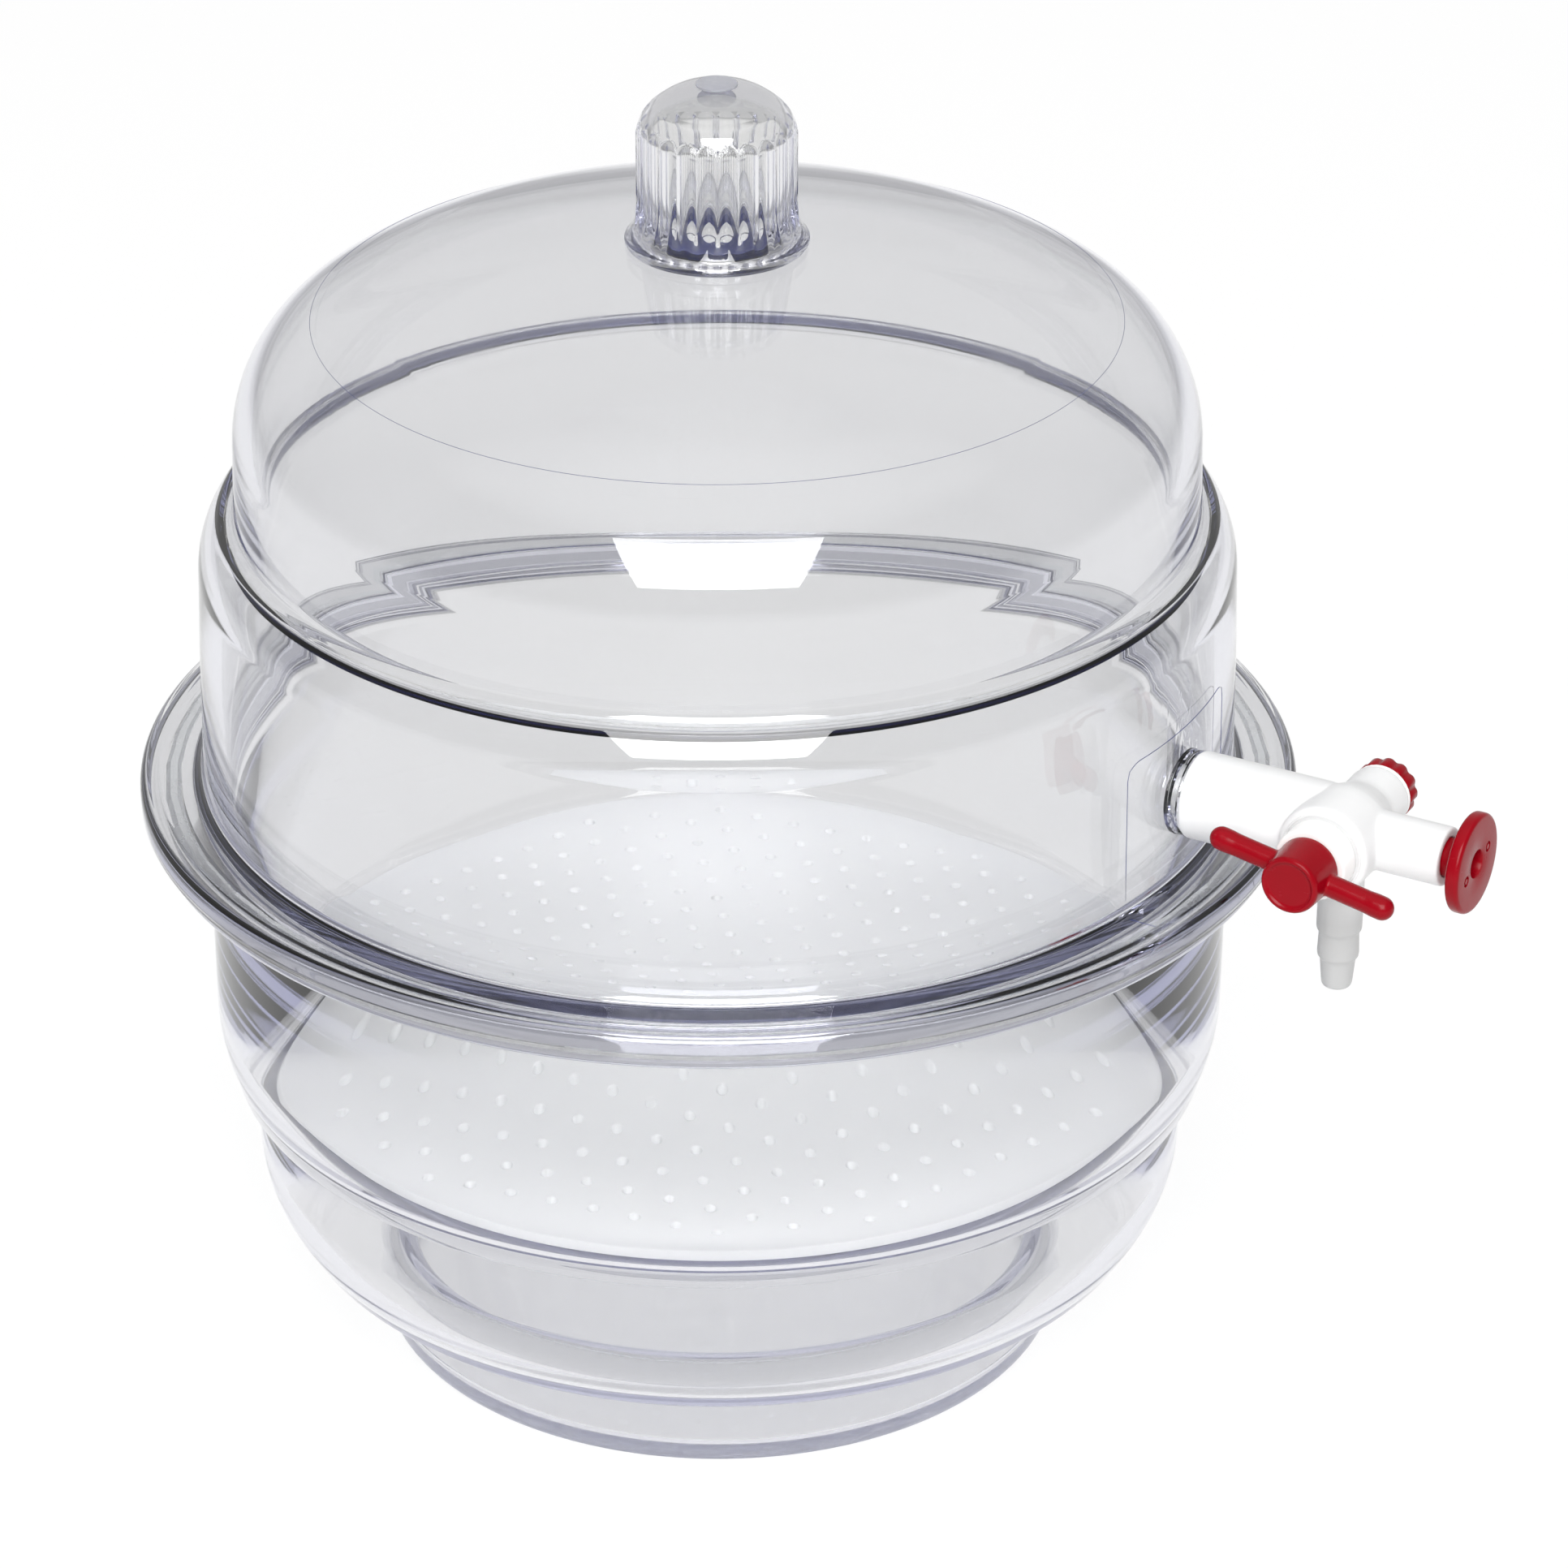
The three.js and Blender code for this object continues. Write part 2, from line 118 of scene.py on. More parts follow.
SHADE_RING_IN = 11.5          # a ring of painted shade inside the knob's foot, where the knob shows dark blue
SHADE_RING_OUT = 16
SHADE_RING_LOW = 304.54
SHADE_RING_HIGH = 306.84
GATE_R = 5.2
INSERT_HALF_DEG = 11.7   # the moulded-in port insert, about the port axis
INSERT_TOP = 201
LINE_R = 0.1             # thickness of the mould lines
CROWN_LINE_R = 0.06
PLATE_R = 120.5
PLATE_PITCH = 11
PLATE_HOLE_R = 1.7
PLATE_HOLE_LIMIT = 113
PLATE_TURN = 9
HANDLE_DEG = 10.5
BARB_SHADE_SPAN = (12, 24)     # below the port axis: painted shade darkens the plastic between these two
BARB_SHADE_GREY = 0.66

# ---- material constants ----
POLYCARBONATE_IOR = 1.585
POLYPROPYLENE_IOR = 1.49
SILICONE_IOR = 1.41
TINT = (0.0, 0.03, 0.42, 1)      # what a long way through the polycarbonate leaves of the light
TINT_DENSITY = 12
PAPER = 0.14

# ---- camera: where the photograph was taken from, in the part's frame ----
VIEW_AZIMUTH = 29.48     # degrees from -Y towards +X
VIEW_ELEVATION = 27.7
VIEW_DISTANCE = 1.615
VIEW_TARGET_Z = 0.1509
VIEW_YAW = 0.68          # degrees to the right of the axis
VIEW_ROLL = 0.134
LENS = 142.3
SENSOR = 36

# ---- light, as radiance ----
FLOOR_GLOW = 0.87
BACKDROP = 0.7
ROOM_SIDE = 0.35
CEILING = 1.0
FRONT_BOX = 8.5
BOX_LOW = (2.4, 1.0)     # the softbox's lower edge: metres out from the axis, and up
BOX_HIGH = (1.25, 2.1)
BOX_HALF_WIDTH = 0.78
FLOOR_BRIGHT = 1.3       # metres from the axis, then the paper falls off


# ---- small helpers ----
def arc(r, z, radius, start, end, steps):
    """Points on a circle in the (radius, height) plane, angles in degrees from +radius."""
    turns = [math.radians(start + (end - start) * i / steps) for i in range(steps + 1)]
    return [(r + radius * math.cos(t), z + radius * math.sin(t)) for t in turns]


def new_object(name, verts, faces):
    mesh = bpy.data.meshes.new(name)
    mesh.from_pydata([Vector(v) * MM for v in verts], [], faces)
    mesh.update()
    obj = bpy.data.objects.new(name, mesh)
    bpy.context.scene.collection.objects.link(obj)
    return obj


def soften(obj, angle=32):
    """Smooth shading, with edges sharper than the angle kept crisp."""
    obj.data.shade_smooth()
    obj.data.set_sharp_from_angle(angle=math.radians(angle))
    return obj


def lathe(name, profile, segments=96, shape=None):
    """A closed turned solid about Z. The profile is anticlockwise, radius right and height up."""
    on_axis = [abs(r) < 1e-6 for r, _ in profile]
    verts, first = [], []
    for (r, z), axis in zip(profile, on_axis):
        first.append(len(verts))
        for j in range(1 if axis else segments):
            turn = 2 * math.pi * j / segments
            radius = shape(r, z, turn) if shape and not axis else r
            verts.append((radius * math.cos(turn), radius * math.sin(turn), z))

    def at(i, j):
        return first[i] + (0 if on_axis[i] else j % segments)

    faces = []
    spans = len(profile) - 1 if on_axis[0] else len(profile)
    for i in range(spans):
        k = (i + 1) % len(profile)
        for j in range(segments):
            ring = [at(i, j), at(i, j + 1), at(k, j + 1), at(k, j)]
            faces.append(tuple(dict.fromkeys(ring)))
    return new_object(name, verts, faces)


def place(obj, axis="Z", at=(0, 0, 0), turn=0):
    """Turn a piece made about Z onto +X or +Y, spin it about Y and move it, in millimetres."""
    onto = {"Z": Matrix(), "X": Matrix.Rotation(math.pi / 2, 4, "Y"),
            "Y": Matrix.Rotation(-math.pi / 2, 4, "X")}[axis]
    spin = Matrix.Rotation(math.radians(turn), 4, "Y")
    obj.data.transform(Matrix.Translation(Vector(at) * MM) @ spin @ onto)
    return obj


def bake(obj):
    """Apply the modifiers and drop them."""
    evaluated = obj.evaluated_get(bpy.context.evaluated_depsgraph_get())
    mesh = bpy.data.meshes.new_from_object(evaluated)
    obj.modifiers.clear()
    old = obj.data
    obj.data = mesh
    bpy.data.meshes.remove(old)
    return obj


def combine(obj, tools, operation):
    """Join the tools to the piece or cut them from it, one at a time."""
    for tool in tools:
        modifier = obj.modifiers.new("cut", "BOOLEAN")
        modifier.operation = operation
        modifier.solver = "EXACT"
        modifier.object = tool
        bake(obj)
        bpy.data.objects.remove(tool)
    return obj


def moulded(obj, voxel, rounds):
    """Remesh a joined piece and relax it, so that its inside corners get small fillets."""
    remesh = obj.modifiers.new("remesh", "REMESH")
    remesh.mode = "VOXEL"
    remesh.voxel_size = voxel * MM
    relax = obj.modifiers.new("relax", "SMOOTH")
    relax.factor = 0.5
    relax.iterations = rounds
    bake(obj)
    obj.data.shade_smooth()
    return obj


def rod(radius, low, high, edge=0.0):
    """The profile of a plain rod, with rounded ends if an edge radius is given."""
    if not edge:
        return [(0, low), (radius, low), (radius, high), (0, high)]
    return [(0, low), *arc(radius - edge, low + edge, edge, -90, 0, 4),
            *arc(radius - edge, high - edge, edge, 0, 90, 4), (0, high)]


# ---- materials ----
def material(name):
    mat = bpy.data.materials.new(name)
    mat.use_nodes = True
    nodes = mat.node_tree.nodes
    return mat, nodes, mat.node_tree.links, nodes["Principled BSDF"]


def noise(nodes, links, scale, detail=4.0, stretch=(1, 1, 1)):
    """Noise in object space, so that it stays put on the surface."""
    coordinates = nodes.new("ShaderNodeTexCoord")
    mapping = nodes.new("ShaderNodeMapping")
    mapping.inputs["Scale"].default_value = stretch
    texture = nodes.new("ShaderNodeTexNoise")
    texture.inputs["Scale"].default_value = scale
    texture.inputs["Detail"].default_value = detail
    links.new(coordinates.outputs["Object"], mapping.inputs["Vector"])
    links.new(mapping.outputs["Vector"], texture.inputs["Vector"])
    return texture.outputs["Fac"]


def spread(nodes, links, value, low, high):
    """Map a noise value onto a range."""
    span = nodes.new("ShaderNodeMapRange")
    span.inputs["From Min"].default_value = 0.3
    span.inputs["From Max"].default_value = 0.7
    span.inputs["To Min"].default_value = low
    span.inputs["To Max"].default_value = high
    links.new(value, span.inputs["Value"])
    return span.outputs["Result"]


def bump(nodes, links, value, height, strength, shader):
    node = nodes.new("ShaderNodeBump")
    node.inputs["Distance"].default_value = height
    node.inputs["Strength"].default_value = strength
    links.new(value, node.inputs["Height"])
    links.new(node.outputs["Normal"], shader.inputs["Normal"])


def tinted(nodes, links, value, dark, light, shader):
    mix = nodes.new("ShaderNodeMix")
    mix.data_type = "RGBA"
    mix.inputs["A"].default_value = (*dark, 1)
    mix.inputs["B"].default_value = (*light, 1)
    links.new(value, mix.inputs["Factor"])
    links.new(mix.outputs["Result"], shader.inputs["Base Color"])


def clear_polycarbonate():
    """Clear, a little wavy, with a blue-violet tint where the light goes a long way through it."""
    mat, nodes, links, shader = material("clear_polycarbonate")
    shader.inputs["Base Color"].default_value = (0.917, 0.917, 0.902, 1)
    shader.inputs["IOR"].default_value = POLYCARBONATE_IOR
    shader.inputs["Transmission Weight"].default_value = 1
    haze = noise(nodes, links, 60)
    links.new(spread(nodes, links, haze, 0.0, 0.03), shader.inputs["Roughness"])
    bump(nodes, links, noise(nodes, links, 9, 1.0), 0.002, 0.04, shader)
    absorb = nodes.new("ShaderNodeVolumeAbsorption")
    absorb.inputs["Color"].default_value = TINT
    absorb.inputs["Density"].default_value = TINT_DENSITY
    links.new(absorb.outputs["Volume"], nodes["Material Output"].inputs["Volume"])
    return mat


def clear_silicone():
    mat, nodes, links, shader = material("clear_silicone")
    shader.inputs["IOR"].default_value = SILICONE_IOR
    shader.inputs["Transmission Weight"].default_value = 1
    cloud = noise(nodes, links, 80)
    tinted(nodes, links, cloud, (0.9, 0.93, 0.95), (0.96, 0.97, 0.98), shader)
    links.new(spread(nodes, links, cloud, 0.2, 0.3), shader.inputs["Roughness"])
    return mat


def plastic(name, dark, light, rough, scatter=0.0, shine=0.5):
    mat, nodes, links, shader = material(name)
    cloud = noise(nodes, links, 120)
    tinted(nodes, links, cloud, dark, light, shader)
    links.new(spread(nodes, links, noise(nodes, links, 300), rough - 0.04, rough + 0.06),
              shader.inputs["Roughness"])
    shader.inputs["IOR"].default_value = POLYPROPYLENE_IOR
    shader.inputs["Specular IOR Level"].default_value = shine
    shader.inputs["Subsurface Weight"].default_value = scatter
    shader.inputs["Subsurface Radius"].default_value = (1, 1, 1)
    shader.inputs["Subsurface Scale"].default_value = 0.0015
    bump(nodes, links, noise(nodes, links, 1500, 2.0), 0.00002, 0.35, shader)
    return mat


def frosted(mat):
    """Let some of the light through, scattered, as thin natural plastic does."""
    nodes, links = mat.node_tree.nodes, mat.node_tree.links
    through = nodes.new("ShaderNodeBsdfTranslucent")
    through.inputs["Color"].default_value = (0.97, 0.98, 0.985, 1)
    mix = nodes.new("ShaderNodeMixShader")
    mix.inputs["Fac"].default_value = 0.3
    links.new(nodes["Principled BSDF"].outputs["BSDF"], mix.inputs[1])
    links.new(through.outputs["BSDF"], mix.inputs[2])
    links.new(mix.outputs["Shader"], nodes["Material Output"].inputs["Surface"])


def painted_shade_below(mat, top, bottom, grey):
    """Paint shade into a plastic: darker from one height down to a lower one, as if the lower part got
    less light.
    """
    nodes, links = mat.node_tree.nodes, mat.node_tree.links
    shader = nodes["Principled BSDF"]
    coordinates = nodes.new("ShaderNodeTexCoord")
    split = nodes.new("ShaderNodeSeparateXYZ")
    fade = nodes.new("ShaderNodeMapRange")
    shade = nodes.new("ShaderNodeMix")
    shade.data_type = "RGBA"
    shade.blend_type = "MULTIPLY"
    links.new(coordinates.outputs["Object"], split.inputs["Vector"])
    links.new(split.outputs["Z"], fade.inputs["Value"])
    fade.inputs["From Min"].default_value = top * MM
    fade.inputs["From Max"].default_value = bottom * MM
    links.new(fade.outputs["Result"], shade.inputs["Factor"])
    links.new(shader.inputs["Base Color"].links[0].from_socket, shade.inputs["A"])
    shade.inputs["B"].default_value = (grey, grey, grey * 0.995, 1)
    links.new(shade.outputs["Result"], shader.inputs["Base Color"])


def painted_dark_polycarbonate():
    """Painted shade: an opaque dark blue, put where long light paths through the polycarbonate show it
    dark.
    """
    mat, nodes, links, shader = material("painted_dark_polycarbonate")
    tinted(nodes, links, noise(nodes, links, 90), (0.018, 0.024, 0.11), (0.035, 0.045, 0.17), shader)
    links.new(spread(nodes, links, noise(nodes, links, 200), 0.12, 0.25), shader.inputs["Roughness"])
    return mat


def frosted_polycarbonate():
    """The rough mark of the moulding gate."""
    mat, nodes, links, shader = material("frosted_polycarbonate")
    grain = noise(nodes, links, 700)
    tinted(nodes, links, grain, (0.62, 0.63, 0.68), (0.88, 0.88, 0.9), shader)
    shader.inputs["Roughness"].default_value = 0.5
    shader.inputs["IOR"].default_value = POLYCARBONATE_IOR
    shader.inputs["Transmission Weight"].default_value = 0.75
    bump(nodes, links, grain, 0.0001, 0.6, shader)
    return mat


def scuffed_polycarbonate():
    """Clear, with the fine scuffs of standing on a bench."""
    mat, nodes, links, shader = material("scuffed_polycarbonate")
    tinted(nodes, links, noise(nodes, links, 40), (0.96, 0.96, 0.955), (1, 1, 1), shader)
    links.new(spread(nodes, links, noise(nodes, links, 260), 0.35, 0.55), shader.inputs["Roughness"])
    shader.inputs["IOR"].default_value = POLYCARBONATE_IOR
    shader.inputs["Transmission Weight"].default_value = 0.93
    return mat


CLEAR = clear_polycarbonate()
SCUFFED = scuffed_polycarbonate()
PAINTED_DARK = painted_dark_polycarbonate()
FROSTED = frosted_polycarbonate()
WHITE = plastic("white_polypropylene", (0.69, 0.695, 0.7), (0.73, 0.73, 0.73), 0.34, 0.25)
NATURAL = plastic("natural_polypropylene", (0.97, 0.975, 0.98), (0.985, 0.99, 0.99), 0.42)
frosted(NATURAL)
# painted shade: the stopcock below the port, with its barb, is darkened as if less lit from above
painted_shade_below(WHITE, PORT_Z - BARB_SHADE_SPAN[0], PORT_Z - BARB_SHADE_SPAN[1], BARB_SHADE_GREY)
PTFE = plastic("white_ptfe", (0.86, 0.85, 0.84), (0.9, 0.9, 0.89), 0.4, 0.2)
RED = plastic("red_polypropylene", (0.22, 0.0, 0.004), (0.26, 0.0003, 0.007), 0.22, 0.0, 0.16)
RUBBER = plastic("black_rubber", (0.012, 0.012, 0.013), (0.03, 0.03, 0.03), 0.6)
SILICONE = clear_silicone()


def finish_piece(obj, mat, slot, body, *nodes_replaced):
    """Give a piece its material and body, and hide the CAD nodes that it stands for. The slot is not
    used.
    """
    obj.data.materials.clear()
    obj.data.materials.append(mat)
    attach(obj, body)
    if nodes_replaced:
        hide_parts(*nodes_replaced)


# ---- vessel ----
def bowl():
    lower_c = LOWER_R - LOWER_BEND_R
    upper_c = UPPER_R - UPPER_BEND_R
    outside = [
        (0, 0), *arc(FOOT_R - FOOT_CORNER, FOOT_CORNER, FOOT_CORNER, -90, 0, 6),
        (FOOT_R + 3.2, FOOT_TOP - 3), (FOOT_R + 3.8, FOOT_TOP - 1.2),
        (FOOT_R + 5, FOOT_TOP - 0.3), (FOOT_R + 7, FOOT_TOP),
        *arc(110.4, FOOT_TOP + 6, 6, -90, -36, 6),
        *arc(lower_c, LOWER_BEND_Z, LOWER_BEND_R, -32, 0, 10),
        (LOWER_R, 73.2), *arc(LOWER_R + 2.6, 73.6, 2.6, 180, 100, 4),
        *arc(UPPER_R - 6.2, 79.2, 3, -90, -30, 4),
        *arc(upper_c, UPPER_BEND_Z, UPPER_BEND_R, -24, 0, 8),
        (UPPER_R + 0.4, 146.5), *arc(UPPER_R + 3.4, 147.4, 3, 180, 90, 5),
        (RIM_R - 2.2, 150.4), (RIM_R - 0.3, 151.7), (RIM_R, 152.2),
        *arc(RIM_R - 0.5, RIM_Z - 0.5, 0.5, 0, 90, 3),
    ]
    groove = [
        (SEAL_R + GROOVE_W / 2, RIM_Z), (SEAL_R + GROOVE_W / 2, GROOVE_FLOOR),
        (SEAL_R - GROOVE_W / 2, GROOVE_FLOOR), (SEAL_R - GROOVE_W / 2, RIM_Z),
    ]
    inside = [
        *arc(UPPER_R - WALL + 1.4, RIM_Z - 0.6, 0.6, 90, 170, 3),
        *arc(upper_c, UPPER_BEND_Z, UPPER_BEND_R - WALL, 0, -20, 7),
        (UPPER_R - 7.6, LEDGE_Z + 1.4), (UPPER_R - 8.6, LEDGE_Z + 0.5), (UPPER_R - 9.8, LEDGE_Z),
        *arc(LOWER_R - WALL + 0.8, LEDGE_Z - 0.8, 0.8, 90, 180, 4),
        *arc(lower_c, LOWER_BEND_Z, LOWER_BEND_R - WALL, 0, -34, 9),
        *arc(109, FOOT_TOP + WALL + 4, 4, -40, -90, 4),
        *arc(FOOT_R + 7, FOOT_TOP + WALL - WELL_LIP, WELL_LIP, 90, 170, 8),
        *arc(FOOT_R - 8.4, WELL_FLOOR + WELL_CORNER, WELL_CORNER, -4, -90, 5), (0, WELL_FLOOR),
    ]
    obj = lathe("bowl_clear", [*outside, *groove, *inside], FINE)
    finish_piece(soften(obj), CLEAR, "clear_polycarbonate", "base", "base_bowl")
    obj.data.materials.append(SCUFFED)      # for the underside
    for face in obj.data.polygons:
        if face.center.z < 0.1 * MM:
            face.material_index = 1


def lid_profile():
    shoulder_c = DOME_R - DOME_BEND
    crown_c = CROWN_TOP - CROWN_ARC
    step_c = SIDE_R - 0.4 - STEP_ARC
    step_end = math.degrees(math.acos((STEP_R - step_c) / STEP_ARC))
    inside = [
        (0, CROWN_TOP - WALL),
        *arc(0, crown_c, CROWN_ARC - WALL, 88, BLEND_END + 1, 10),
        *arc(BLEND_C, BLEND_Z, BLEND_R - WALL, BLEND_END, BLEND_START + 1, 6),
        *arc(shoulder_c, DOME_BEND_Z, DOME_BEND - WALL, BLEND_START, 0, 14),
        *arc(DOME_R + 2.9, STEP_Z + 2.6, WALL + STEP_FILLET, -178, -120, 6),
        *arc(step_c, STEP_BASE, STEP_ARC - WALL, step_end - 6, 0, 7),
        (UPPER_R - WALL + 0.2, 168), (UPPER_R - WALL + 0.5, LID_FACE + 0.6),
        (UPPER_R - WALL + 1.1, LID_FACE),
    ]
    outside = [
        (SKIRT_IN - 0.3, LID_FACE), (SKIRT_IN, LID_FACE - 0.3), (SKIRT_IN, SKIRT_END),
        *arc(FLANGE_R - 0.4, SKIRT_END + 0.4, 0.4, -90, 0, 3),
        *arc(FLANGE_R - 2.4, FLANGE_TOP - 2.8, 2.4, 0, 90, 7),
        (FLANGE_R - 4.2, FLANGE_TOP - 0.4), (FLANGE_R - 4.7, FLANGE_TOP - 0.15),
        (FLANGE_R - 5.5, FLANGE_TOP),
        *arc(SIDE_R + 3.8, FLANGE_TOP + 3, 3, -90, -176, 7),
        (SIDE_R + 0.45, 172), (SIDE_R + 0.1, 200),
        *arc(step_c, STEP_BASE, STEP_ARC, 0, step_end, 10),
        (STEP_R - 0.5, STEP_Z + 0.35), (DOME_R + 2.4, STEP_Z + 0.1),
        *arc(DOME_R + 2.9, STEP_Z + 2.6, STEP_FILLET, -90, -172, 6),
        *arc(shoulder_c, DOME_BEND_Z, DOME_BEND, 0, BLEND_START, 18),
        *arc(BLEND_C, BLEND_Z, BLEND_R, BLEND_START + 1, BLEND_END, 8),
        *arc(0, crown_c, CROWN_ARC, BLEND_END + 1, 88, 10),
        (0, CROWN_TOP),
    ]
    return [*inside, *outside]


def lid():
    obj = lathe("lid_clear", lid_profile(), FINE)
    boss_r = 11
    boss = place(lathe("boss", [
        (0, 129.5), (boss_r, 129.5), (boss_r, 133.6), (boss_r - 0.2, 133.9), (boss_r - 0.9, 134.1),
        (boss_r - 0.9, 134.6), (boss_r - 0.3, 134.8), (boss_r - 0.1, 135.1),
        (boss_r - 0.1, 135.7), (boss_r - 0.4, 136), (0, 136),
    ], 96), "X", (0, 0, PORT_Z))
    seat = lathe("seat", [(13, CROWN_TOP - 3.5), (16.1, CROWN_TOP - 3.5), (16.1, CROWN_TOP + 2.5),
                          (13, CROWN_TOP + 2.5)], 96)
    combine(obj, [boss, seat], "UNION")
    combine(obj, [place(lathe("bore", rod(6.8, 120, 140), 64), "X", (0, 0, PORT_Z))], "DIFFERENCE")
    finish_piece(soften(obj), CLEAR, "clear_polycarbonate", "lid", "lid_dome")


def knob():
    base = CROWN_AT_KNOB
    shoulder = KNOB_SHOULDER
    section = [
        (0, KNOB_CROWN - 4.2), (6.5, KNOB_CROWN - 5), (9.5, KNOB_CROWN - 6),
        *arc(KNOB_CAVITY - 7, shoulder, 7, 55, 0, 8), (KNOB_CAVITY, base - 0.1),
        (KNOB_BEAD_R - 0.7, base - 0.6), *arc(KNOB_BEAD_R - 1.2, base + 0.7, 1.2, -60, 75, 7),
        (KNOB_R + 1.2, base + 2.3), (KNOB_R + 0.7, base + 3.2), (KNOB_R + 0.4, base + 4.6),
        (KNOB_R + 0.3, base + 5.6), (KNOB_R + 0.2, base + 6.6), (KNOB_R + 0.15, base + 7.6),
        (KNOB_R + 0.1, base + 8.6), (KNOB_R, base + 10), (KNOB_R, base + 12), (KNOB_R, base + 15),
        (KNOB_R, base + 22), (KNOB_R, shoulder - 3), (KNOB_R, shoulder - 1),
        *arc(KNOB_R - 10, shoulder, 10, 0, 50, 14),
        (15.4, shoulder + 8.6), (15.2, shoulder + 8.75), (12.5, shoulder + 10.6),
        (9.5, KNOB_CROWN - 1.6), (6.5, KNOB_CROWN - 0.75), (3, KNOB_CROWN - 0.15), (0, KNOB_CROWN),
    ]

    def fluted(r, z, turn):
        low, high = base + FLUTE_LOW, shoulder + FLUTE_HIGH
        if r < KNOB_CAVITY + 0.8 or not low < z < high:
            return r
        scoop = abs(math.sin(turn * KNOB_FLUTES / 2)) ** 0.8
        rise = min(1, (z - low) / 6, (high - z) / 3)
        return r - FLUTE_DEPTH * max(0, scoop - (1 - rise))

    obj = lathe("knob_clear", section, KNOB_FLUTES * 16, fluted)
    finish_piece(soften(obj, 50), CLEAR, "clear_polycarbonate", "lid", "lid_knob")
    # painted shade: an opaque dark ring where the knob's refraction shows dark blue; it stands for no
    # part of the knob
    shade_ring = lathe("knob_shade_ring", [(SHADE_RING_IN, SHADE_RING_LOW), (SHADE_RING_OUT, SHADE_RING_LOW),
                                 (SHADE_RING_OUT, SHADE_RING_HIGH), (SHADE_RING_IN, SHADE_RING_HIGH)], 96)
    finish_piece(soften(shade_ring), PAINTED_DARK, "clear_polycarbonate", "lid")
    gate = lathe("knob_gate", rod(GATE_R, KNOB_CROWN - 0.5, KNOB_CROWN + 0.1, 0.15), 64)
    finish_piece(soften(gate), FROSTED, "clear_polycarbonate", "lid")


def curve_piece(name, curve):
    """The solid that a bevelled curve draws, as a mesh object."""
    drawn = bpy.data.objects.new(name + "_curve", curve)
    bpy.context.scene.collection.objects.link(drawn)
    mesh = bpy.data.meshes.new_from_object(drawn.evaluated_get(bpy.context.evaluated_depsgraph_get()))
    bpy.data.objects.remove(drawn)
    obj = bpy.data.objects.new(name, mesh)
    bpy.context.scene.collection.objects.link(obj)
    return obj


def wire(name, points, radius):
    """A thin round bead along a line of points in millimetres."""
    curve = bpy.data.curves.new(name, "CURVE")
    curve.dimensions = "3D"
    curve.bevel_depth = radius * MM
    curve.bevel_resolution = 1
    curve.use_fill_caps = True
    spline = curve.splines.new("POLY")
    spline.points.add(len(points) - 1)
    for point, spot in zip(spline.points, points):
        point.co = (*(Vector(spot) * MM), 1)
    return curve_piece(name, curve)


def mould_lines():
    """The outline that the port's insert leaves on the wall and flange, and the ring on the crown."""
    def on_wall(degrees, z):
        radius = SIDE_R + 0.45 - (z - 172) * 0.0125
        return (radius * math.cos(math.radians(degrees)), radius * math.sin(math.radians(degrees)), z)

    def on_flange(radius, degrees):
        turn = math.radians(degrees)
        return (radius * math.cos(turn), radius * math.sin(turn), FLANGE_TOP)

    half, top = INSERT_HALF_DEG, INSERT_TOP
    up = [on_wall(-half, z) for z in (164, 172, 180, 190, top - 4)]
    corner = [on_wall(-half + 0.3, top - 1.5), on_wall(-half + 1.3, top - 0.3)]
    over = [on_wall(-half + 2 + i * (2 * half - 4) / 16, top) for i in range(17)]
    outline = [*up, *corner, *over, *[(x, -y, z) for x, y, z in reversed([*up, *corner])]]
    lines = [wire("mould_line", outline, LINE_R)]
    for side in (-1, 1):
        foot = [on_flange(SIDE_R + 4, side * (half + 1)), on_flange(FLANGE_R - 6, side * (half + 0.5))]
        lines.append(wire("mould_line_flange", foot, LINE_R))
    turn = math.radians(WITNESS_DEG)
    ring_r, ring_z = BLEND_C + BLEND_R * math.cos(turn), BLEND_Z + BLEND_R * math.sin(turn)
    ring = [(ring_r * math.cos(a), ring_r * math.sin(a), ring_z)
            for a in (2 * math.pi * i / FINE for i in range(FINE + 1))]
    lines.append(wire("mould_line_crown", ring, CROWN_LINE_R))
    # The mould lines are real marks of the moulding; their dark colour is painted shade, in place of
    # the dark line that light shows along such a fine ridge.
    for line in lines:
        finish_piece(line, PAINTED_DARK, "clear_polycarbonate", "lid")


def plate():
    """A disc with a hexagonal field of round holes, filled and rounded by a flat curve."""
    thick = (PLATE_HIGH[2] - PLATE_LOW[2]) / MM
    edge = 0.25
    curve = bpy.data.curves.new("plate", "CURVE")
    curve.dimensions = "2D"
    curve.fill_mode = "BOTH"
    curve.extrude = (thick / 2 - edge) * MM
    curve.bevel_depth = edge * MM
    curve.bevel_resolution = 1

    def circle(x, y, radius, count):
        spline = curve.splines.new("POLY")
        spline.points.add(count - 1)
        for i, point in enumerate(spline.points):
            turn = 2 * math.pi * i / count
            point.co = ((x + radius * math.cos(turn)) * MM, (y + radius * math.sin(turn)) * MM, 0, 1)
        spline.use_cyclic_u = True

    circle(0, 0, PLATE_R - edge, 192)
    rows = int(PLATE_R / PLATE_PITCH) + 2
    turn = Matrix.Rotation(math.radians(PLATE_TURN), 2)
    for i in range(-rows, rows + 1):
        for j in range(-rows, rows + 1):
            spot = turn @ Vector((PLATE_PITCH * (i + j / 2), PLATE_PITCH * j * math.sqrt(0.75)))
            if spot.length < PLATE_HOLE_LIMIT:
                circle(spot.x, spot.y, PLATE_HOLE_R, 16)
    obj = curve_piece("plate_white", curve)
    obj.data.transform(Matrix.Translation((0, 0, (PLATE_LOW[2] + PLATE_HIGH[2]) / 2)))
    finish_piece(soften(obj, 40), NATURAL, "natural_polypropylene", "plate", "perforated_plate")


